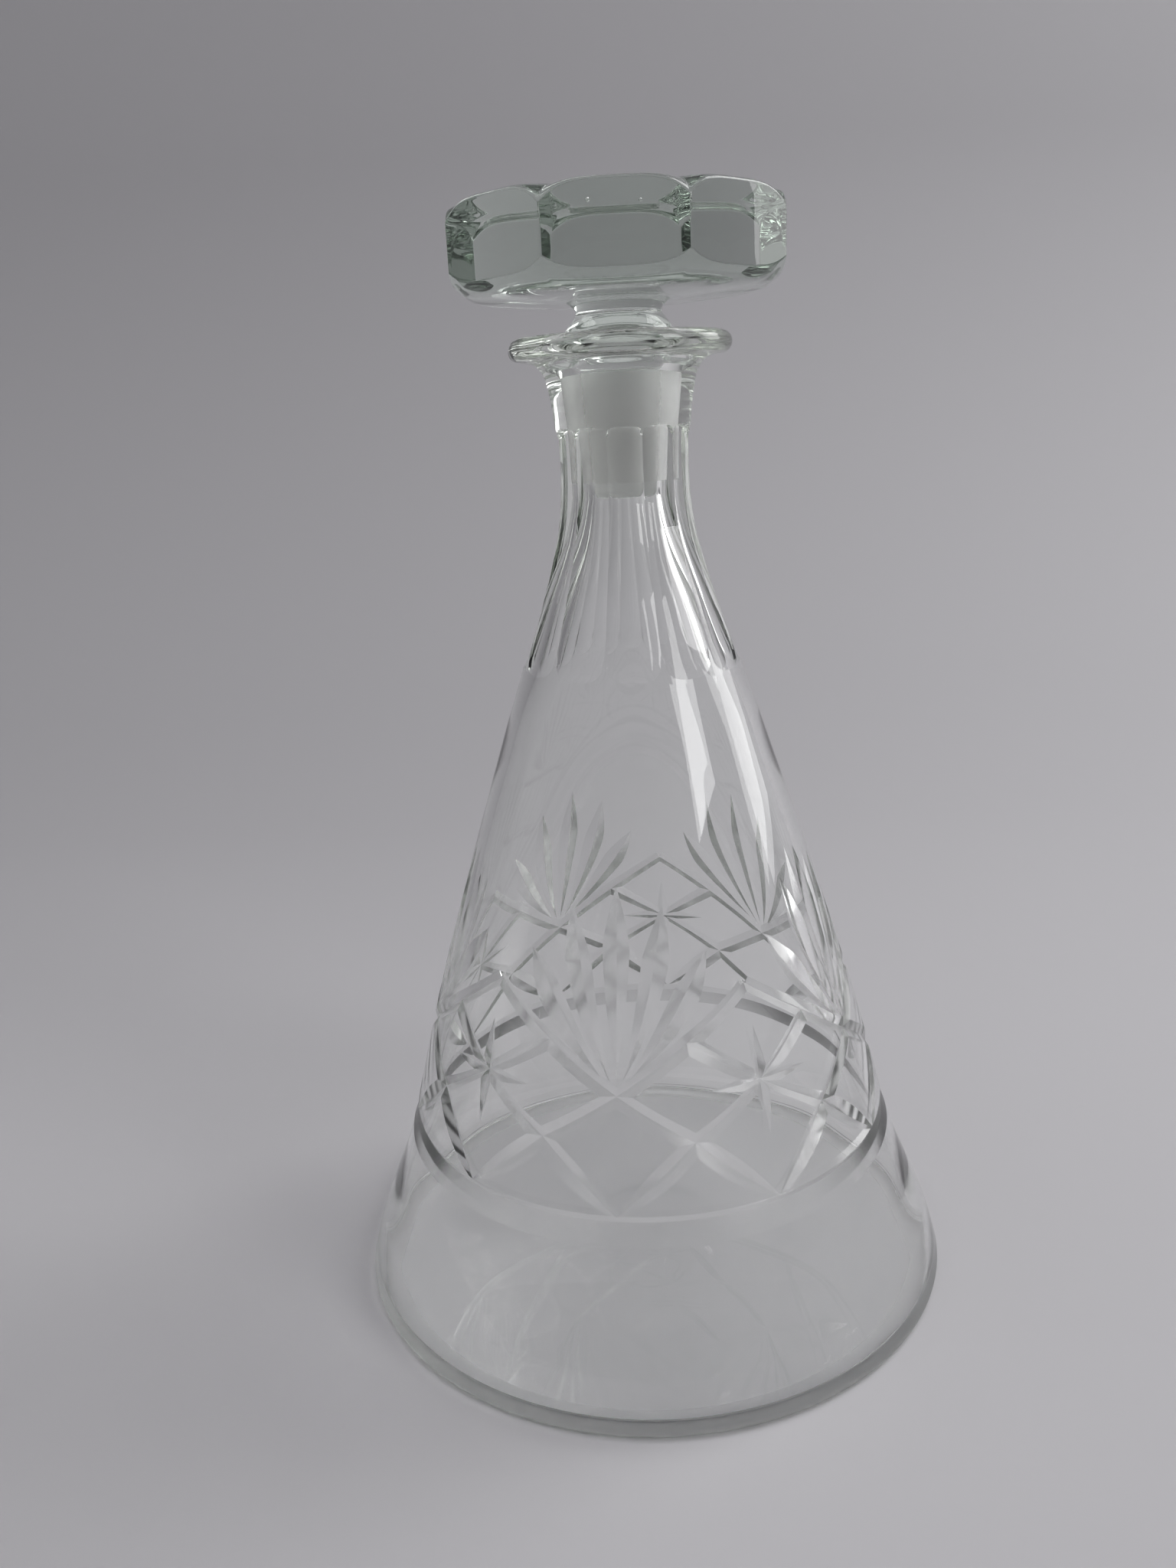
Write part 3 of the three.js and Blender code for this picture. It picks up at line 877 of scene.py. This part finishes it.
# %% Two small bubbles in the head
BUBBLES = [(Vector((-5.4, -21.0, 257.6)), 0.5), (Vector((5.2, -22.5, 256.9)), 0.42)]
BUBBLE_DETAIL = 3
for place, radius in BUBBLES:
    made = bmesh.ops.create_icosphere(
        stopper_shape,
        subdivisions=BUBBLE_DETAIL,
        radius=radius * MM,
        matrix=Matrix.Translation(place * MM),
    )
    skin = {face for vert in made["verts"] for face in vert.link_faces}
    bmesh.ops.reverse_faces(stopper_shape, faces=list(skin))
    for face in skin:
        face.smooth = True
for edge in stopper_shape.edges:
    one, other = edge.link_faces
    edge.smooth = abs(one[ground_layer] - other[ground_layer]) < FINISH_STEP
stopper = as_object(stopper_shape, "decanter_stopper")
even_shading = stopper.modifiers.new("even_shading", "WEIGHTED_NORMAL")
even_shading.mode = "FACE_AREA"
even_shading.keep_sharp = True
print("stopper", len(stopper.data.polygons), "faces")

# %% [markdown]
# ## Effects that both glasses share
# Ground glass is matt because its surface is a field of tiny pits. A cut keeps the fine lines of the wheel,
# and handled glass carries faint smears. Each of these is a node group that reads the piece's own
# coordinates and puts out a mask or a height, and each material then decides how much of it to use.

# %% Node groups


def group(name, inputs, outputs):
    """A new shader node group with float sockets, and its two end nodes."""
    tree = bpy.data.node_groups.new(name, "ShaderNodeTree")
    for label, value in inputs.items():
        socket = tree.interface.new_socket(name=label, in_out="INPUT", socket_type="NodeSocketFloat")
        socket.default_value = value
    for label in outputs:
        tree.interface.new_socket(name=label, in_out="OUTPUT", socket_type="NodeSocketFloat")
    return tree, tree.nodes.new("NodeGroupInput"), tree.nodes.new("NodeGroupOutput")


def noise_node(tree, scale, detail, vector=None):
    """A noise texture on the piece's own coordinates."""
    texture = tree.nodes.new("ShaderNodeTexNoise")
    texture.inputs["Scale"].default_value = scale
    texture.inputs["Detail"].default_value = detail
    if vector is None:
        vector = tree.nodes.new("ShaderNodeTexCoord").outputs["Object"]
    tree.links.new(vector, texture.inputs["Vector"])
    return texture


def math_node(tree, operation, first, second):
    """A math node between two sockets or numbers."""
    made = tree.nodes.new("ShaderNodeMath")
    made.operation = operation
    for socket, value in zip(made.inputs, (first, second)):
        if isinstance(value, (int, float)):
            socket.default_value = value
        else:
            tree.links.new(value, socket)
    return made.outputs[0]


def ranged(tree, value, low, high, to_low, to_high):
    """A value from one range mapped to another, held at its ends."""
    made = tree.nodes.new("ShaderNodeMapRange")
    made.interpolation_type = "SMOOTHSTEP"
    for label, number in (("From Min", low), ("From Max", high), ("To Min", to_low), ("To Max", to_high)):
        made.inputs[label].default_value = number
    tree.links.new(value, made.inputs["Value"])
    return made.outputs["Result"]


# %% Smears on handled glass
SMEAR_SCALE = 38
SMEAR_RANGE = (0.5, 0.72)
STREAK_SCALE = 240
STREAK_RANGE = (0.4, 0.7)
smears, smears_in, smears_out = group("smears", {"Amount": 1.0}, ["Mask"])
broad = noise_node(smears, SMEAR_SCALE, 2)
fine = noise_node(smears, STREAK_SCALE, 4)
patch = ranged(smears, broad.outputs["Fac"], *SMEAR_RANGE, 0, 1)
streak = ranged(smears, fine.outputs["Fac"], *STREAK_RANGE, 0, 1)
smear = math_node(smears, "MULTIPLY", patch, streak)
amount = smears_in.outputs["Amount"]
smears.links.new(math_node(smears, "MULTIPLY", smear, amount), smears_out.inputs["Mask"])

# %% The pits of a ground surface
PIT_SCALE = 2600.0
UNEVEN_SCALE = 130
UNEVEN_RANGE = (0.3, 0.7)
pits, pits_in, pits_out = group("ground_pits", {"Grain": PIT_SCALE}, ["Height", "Unevenness"])
grain = noise_node(pits, 1, 2)
pits.links.new(pits_in.outputs["Grain"], grain.inputs["Scale"])
patches = noise_node(pits, UNEVEN_SCALE, 3)
pits.links.new(grain.outputs["Fac"], pits_out.inputs["Height"])
unevenness = ranged(pits, patches.outputs["Fac"], *UNEVEN_RANGE, -1, 1)
pits.links.new(unevenness, pits_out.inputs["Unevenness"])

# %% The fine lines that a polishing wheel leaves in a cut
LINE_SCALE = 1400
LINE_STRETCH = (1, 1, 0.12)
lines, lines_in, lines_out = group("wheel_lines", {"Fineness": 1.0}, ["Height"])
stretch = lines.nodes.new("ShaderNodeMapping")
stretch.inputs["Scale"].default_value = LINE_STRETCH
lines.links.new(lines.nodes.new("ShaderNodeTexCoord").outputs["Object"], stretch.inputs["Vector"])
line_noise = noise_node(lines, LINE_SCALE, 3, stretch.outputs["Vector"])
line_height = math_node(lines, "MULTIPLY", line_noise.outputs["Fac"], lines_in.outputs["Fineness"])
lines.links.new(line_height, lines_out.inputs["Height"])
print("groups", [tree.name for tree in bpy.data.node_groups])

# %% [markdown]
# ## The glass
# Both pieces are a common clear glass: colourless to look through, and grey-green where light runs along
# it, as in the lip and the foot's rim. So the surface stays nearly white, and the tint is a volume that
# takes away light with depth, red and blue more than green. The solid head is the deepest glass here and
# gets a stronger and greyer tint than the blown body. Roughness comes from the finish numbers on the
# faces: none on the blown skin, the flutes and the flats, some frosting in the V cuts, which makes them
# pale on the near side, and much on the ground seat and plug. Only those two are greyed as well, because
# their pits trap light. The foot's ring is matt enough to scatter light out of the rim, and not greyed.

# %% What the two glasses are made of
GLASS_IOR = 1.52
BLOWN_TINT = (0.865, 0.9, 0.85, 1)
BLOWN_DENSITY = 26.0
BLOWN_SMEARS = 0.6
SOLID_TINT = (0.877, 0.897, 0.88, 1)
SOLID_DENSITY = 58.0
SOLID_SMEARS = 0.5
CLEAR = (0.998, 1.0, 0.998, 1)
SMEARED = (0.965, 0.97, 0.965, 1)
GROUND_GREY = (0.8, 0.795, 0.79, 1)
GREYED_FROM = 0.8
GROUND_ROUGHNESS = 0.8
GROUND_UNEVENNESS = 0.05
CUT_ROUGHNESS = 0.2
SMEAR_ROUGHNESS = 0.06
LINE_STRENGTH = 0.12
BUMP_DISTANCE = 0.02 * MM
BUMP_STRENGTH = 0.5
print("tints", BLOWN_TINT[:3], "and", SOLID_TINT[:3])

# %% Glass material


def glass(name, smear_amount, colour, density):
    """Clear glass with ground, cut and blown finishes."""
    material = bpy.data.materials.new(name)
    material.use_nodes = True
    tree = material.node_tree
    shader = tree.nodes["Principled BSDF"]
    shader.inputs["Transmission Weight"].default_value = 1.0
    shader.inputs["IOR"].default_value = GLASS_IOR
    ground = tree.nodes.new("ShaderNodeAttribute")
    ground.attribute_name = "ground"
    cut = tree.nodes.new("ShaderNodeAttribute")
    cut.attribute_name = "cut"
    smear = tree.nodes.new("ShaderNodeGroup")
    smear.node_tree = smears
    smear.inputs["Amount"].default_value = smear_amount
    pit = tree.nodes.new("ShaderNodeGroup")
    pit.node_tree = pits
    line = tree.nodes.new("ShaderNodeGroup")
    line.node_tree = lines

    matt = math_node(tree, "MULTIPLY_ADD", pit.outputs["Unevenness"], GROUND_UNEVENNESS)
    matt.node.inputs[2].default_value = GROUND_ROUGHNESS
    roughness = math_node(tree, "MULTIPLY", ground.outputs["Fac"], matt)
    frosted = ranged(tree, cut.outputs["Fac"], POLISHED, 1.0, 0.0, CUT_ROUGHNESS)
    roughness = math_node(tree, "ADD", roughness, frosted)
    smeared = math_node(tree, "MULTIPLY", smear.outputs["Mask"], SMEAR_ROUGHNESS)
    tree.links.new(math_node(tree, "ADD", roughness, smeared), shader.inputs["Roughness"])

    tone = tree.nodes.new("ShaderNodeMix")
    tone.data_type = "RGBA"
    tone.inputs["A"].default_value = CLEAR
    tone.inputs["B"].default_value = SMEARED
    tree.links.new(smear.outputs["Mask"], tone.inputs["Factor"])
    greyed = tree.nodes.new("ShaderNodeMix")
    greyed.data_type = "RGBA"
    greyed.inputs["B"].default_value = GROUND_GREY
    tree.links.new(ranged(tree, ground.outputs["Fac"], GREYED_FROM, 1.0, 0, 1), greyed.inputs["Factor"])
    tree.links.new(tone.outputs["Result"], greyed.inputs["A"])
    tree.links.new(greyed.outputs["Result"], shader.inputs["Base Color"])

    pitted = math_node(tree, "MULTIPLY", pit.outputs["Height"], ground.outputs["Fac"])
    lining = math_node(tree, "MULTIPLY", cut.outputs["Fac"], LINE_STRENGTH)
    lined = math_node(tree, "MULTIPLY", line.outputs["Height"], lining)
    bump = tree.nodes.new("ShaderNodeBump")
    bump.inputs["Distance"].default_value = BUMP_DISTANCE
    bump.inputs["Strength"].default_value = BUMP_STRENGTH
    tree.links.new(math_node(tree, "ADD", pitted, lined), bump.inputs["Height"])
    tree.links.new(bump.outputs["Normal"], shader.inputs["Normal"])

    tint = tree.nodes.new("ShaderNodeVolumeAbsorption")
    tint.inputs["Color"].default_value = colour
    tint.inputs["Density"].default_value = density
    tree.links.new(tint.outputs["Volume"], tree.nodes["Material Output"].inputs["Volume"])
    return material


# %% Give each piece its glass
bottle.data.materials.clear()
bottle.data.materials.append(glass("blown_glass", BLOWN_SMEARS, BLOWN_TINT, BLOWN_DENSITY))
stopper.data.materials.append(glass("solid_glass", SOLID_SMEARS, SOLID_TINT, SOLID_DENSITY))
print("materials", [material.name for material in bpy.data.materials])

# %% [markdown]
# ## Bodies
# Each new piece rides on the body of the part that it stands for, and hides that part.

# %% Ride and replace
for piece, name in ((bottle, "bottle"), (stopper, "stopper")):
    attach(piece, name)
    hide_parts(name)
    print(piece.name, "stands for", name)

# %% [markdown]
# ## The floor
# A plain pale sheet runs under the decanter and curves up behind it, so that the glass has an even ground
# to be seen against and no horizon line crosses it. Its colour is painted darker with the way along it, from
# the front to the upright part: painted shade, for the light that falls less on the upright part. Glass
# shows only as differences in what lies behind it. It lies a fifth of a millimetre below the foot: two
# surfaces in the same place would flicker, and no cloth touches a foot all over.

# %% The sheet's measures
FLOOR_COLOUR = (0.475, 0.469, 0.481, 1)
# The upright part's colour is darker than the floor's: painted shade, for the light that falls less on it.
BACKDROP_SHADED_COLOUR = (0.4, 0.3945, 0.4055, 1)
PAINTED_SHADE_WAY = 0.6
SHEET_ROUGHNESS = 0.9
SHEET_SPECULAR = 0.1
SHEET_DROP = 0.2 * MM
FLOOR_HALF = 3.0
BEND_START = 0.36
BEND_RADIUS = 0.42
BEND_STEPS = 32
BACKDROP_RISE = 1.6
NEAR_EDGE = 0.01

# %% Bend the sheet
sheet = bmesh.new()
bmesh.ops.create_grid(sheet, x_segments=1, y_segments=1, size=FLOOR_HALF)
bmesh.ops.translate(sheet, verts=sheet.verts, vec=(0, BEND_START - FLOOR_HALF, -SHEET_DROP))
back = [edge for edge in sheet.edges if all(vert.co.y > BEND_START - NEAR_EDGE for vert in edge.verts)]
bmesh.ops.spin(
    sheet,
    geom=back,
    angle=math.pi / 2,
    steps=BEND_STEPS,
    axis=(1, 0, 0),
    cent=(0, BEND_START, BEND_RADIUS),
)
top = [edge for edge in sheet.edges if all(vert.co.z > BEND_RADIUS - NEAR_EDGE for vert in edge.verts)]
raised = bmesh.ops.extrude_edge_only(sheet, edges=top)["geom"]
raised_verts = [part for part in raised if isinstance(part, bmesh.types.BMVert)]
bmesh.ops.translate(sheet, verts=raised_verts, vec=(0, 0, BACKDROP_RISE))
bmesh.ops.recalc_face_normals(sheet, faces=sheet.faces)
for face in sheet.faces:
    face.smooth = True
floor = as_object(sheet, "floor")
floor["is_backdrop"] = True
print("floor", len(floor.data.polygons), "faces")

# %% Colour the sheet
cloth = bpy.data.materials.new("floor_cloth")
cloth.use_nodes = True
cloth_tree = cloth.node_tree
cloth_shader = cloth_tree.nodes["Principled BSDF"]
cloth_place = cloth_tree.nodes.new("ShaderNodeSeparateXYZ")
coordinates = cloth_tree.nodes.new("ShaderNodeTexCoord")
cloth_tree.links.new(coordinates.outputs["Object"], cloth_place.inputs[0])
# This mix paints shade on the sheet, darker from the front towards the upright part.
cloth_painted_shade = cloth_tree.nodes.new("ShaderNodeMix")
cloth_painted_shade.data_type = "RGBA"
cloth_painted_shade.inputs["A"].default_value = FLOOR_COLOUR
cloth_painted_shade.inputs["B"].default_value = BACKDROP_SHADED_COLOUR
way = math_node(cloth_tree, "ADD", cloth_place.outputs["Y"], cloth_place.outputs["Z"])
cloth_tree.links.new(ranged(cloth_tree, way, 0.0, PAINTED_SHADE_WAY, 0, 1), cloth_painted_shade.inputs["Factor"])
cloth_tree.links.new(cloth_painted_shade.outputs["Result"], cloth_shader.inputs["Base Color"])
cloth_shader.inputs["Roughness"].default_value = SHEET_ROUGHNESS
cloth_shader.inputs["Specular IOR Level"].default_value = SHEET_SPECULAR
floor.data.materials.append(cloth)
print("tone falls over", PAINTED_SHADE_WAY, "m")

# %% [markdown]
# ## Light
# Clear glass is drawn by what it reflects and bends: a bright window makes the streaks on the shoulder and
# the glints in the cuts, and a darker room makes the thin dark lines of the edges. The room itself gives
# the level: a pale ceiling over walls that are dimmer on the left than on the right. Two upright panes
# are the window, one at the right in front and one at the right a little behind. A pane's lower end says
# how far down the cone its streak runs. A soft box stands high behind on the right, and lights the floor
# and the stopper's top.

# %% Lamps
WINDOW_DISTANCE = 1.5
PANE_HIGH = 1.6
PANES = [("near_pane", 56.0, 0.52, 0.5, 4.5), ("far_pane", 108.0, 0.7, 0.15, 2.7)]
SOFT_BOX = ("soft_box", 126.0, 42.0, 1.4, 1.05, 0.95, 3.15)
SOFT_BOX_AIM = Vector((0, 0, 0.12))


def toward(azimuth, elevation=0.0):
    """The direction at an azimuth from -Y towards +X and an elevation, in degrees."""
    around, up = math.radians(azimuth), math.radians(elevation)
    return Vector((math.sin(around) * math.cos(up), -math.cos(around) * math.cos(up), math.sin(up)))


def lamp(name, place, target, width, height, radiance):
    """A rectangular soft lamp at a place, turned to its target, as bright as a radiance."""
    data = bpy.data.lights.new(name, "AREA")
    data.shape = "RECTANGLE"
    data.size, data.size_y = width, height
    data.energy = radiance * math.pi * width * height
    made = bpy.data.objects.new(name, data)
    facing = (target - place).to_track_quat("-Z", "Y").to_matrix().to_4x4()
    made.matrix_world = Matrix.Translation(place) @ facing
    made.visible_camera = False
    bpy.context.scene.collection.objects.link(made)
    print(name, round(data.energy, 2), "W")


# %% Hang the lamps
for name, azimuth, width, pane_low, radiance in PANES:
    place = toward(azimuth) * WINDOW_DISTANCE
    place.z = (pane_low + PANE_HIGH) / 2
    lamp(name, place, Vector((0, 0, place.z)), width, PANE_HIGH - pane_low, radiance)
name, azimuth, elevation, distance, width, height, radiance = SOFT_BOX
place = SOFT_BOX_AIM + toward(azimuth, elevation) * distance
lamp(name, place, SOFT_BOX_AIM, width, height, radiance)

# %% The world's dim room
DIM_WALL = 0.3
BRIGHT_WALL = 0.55
CEILING = 0.62
BRIGHT_SIDE = (0.92, 0.38, 0.0)
WALL_TURN = (-0.8, 0.8)
CEILING_RISE = (0.2, 0.8)
ROOM_TINT = (("Red", 0.99), ("Green", 0.98), ("Blue", 1.02))
world = bpy.data.worlds.new("room")
world.use_nodes = True
bpy.context.scene.world = world
nodes, links = world.node_tree.nodes, world.node_tree.links
direction = nodes.new("ShaderNodeTexCoord").outputs["Generated"]


def along(way):
    """How far the world's direction points along a given way, from -1 to 1."""
    dot = nodes.new("ShaderNodeVectorMath")
    dot.operation = "DOT_PRODUCT"
    dot.inputs[1].default_value = way
    links.new(direction, dot.inputs[0])
    return dot.outputs["Value"]


# %% Colour the room
walls = ranged(world.node_tree, along(BRIGHT_SIDE), *WALL_TURN, DIM_WALL, BRIGHT_WALL)
overhead = ranged(world.node_tree, along((0.0, 0.0, 1.0)), *CEILING_RISE, 0.0, 1.0)
blend = nodes.new("ShaderNodeMix")
links.new(overhead, blend.inputs["Factor"])
links.new(walls, blend.inputs["A"])
blend.inputs["B"].default_value = CEILING
tinted = nodes.new("ShaderNodeCombineColor")
for channel, share in ROOM_TINT:
    shaded = math_node(world.node_tree, "MULTIPLY", blend.outputs["Result"], share)
    links.new(shaded, tinted.inputs[channel])
links.new(tinted.outputs["Color"], nodes["Background"].inputs["Color"])
nodes["Background"].inputs["Strength"].default_value = 1.0
print("room from", DIM_WALL, "to", BRIGHT_WALL, "under a ceiling of", CEILING)

# %% [markdown]
# ## Room for the light's long ways
# Light can run far inside a wall of glass before it comes out, and a renderer that stops counting early
# leaves black patches there. So many passes are allowed. The light that the decanter bends onto the floor
# and onto its own ground surfaces is kept too, and kept unfiltered. A filter would spare some noise, but
# it would blur the glints that tell the eye that this is glass.

# %% Render settings that clear glass needs
GLASS_PASSES = 96
MIRROR_PASSES = 12
FLOOR_PASSES = 4
scene = bpy.context.scene
scene.view_settings.view_transform = "Standard"
scene.cycles.max_bounces = GLASS_PASSES
scene.cycles.transmission_bounces = GLASS_PASSES
scene.cycles.glossy_bounces = MIRROR_PASSES
scene.cycles.diffuse_bounces = FLOOR_PASSES
scene.cycles.caustics_refractive = True
scene.cycles.caustics_reflective = True
scene.cycles.blur_glossy = 0.0
scene.cycles.use_denoising = True
print("up to", scene.cycles.max_bounces, "passes through glass")

# %% [markdown]
# The visual model's box is compared with the imported model's box, and the last lines print how far
# their corners differ.

# %% Sizes
new_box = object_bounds()
for label, corner in (("low", 0), ("high", 1)):
    apart = [round((new_box[corner][k] - cad_box[corner][k]) / MM, 2) for k in range(3)]
    print(label, "corner differs by", apart, "mm")
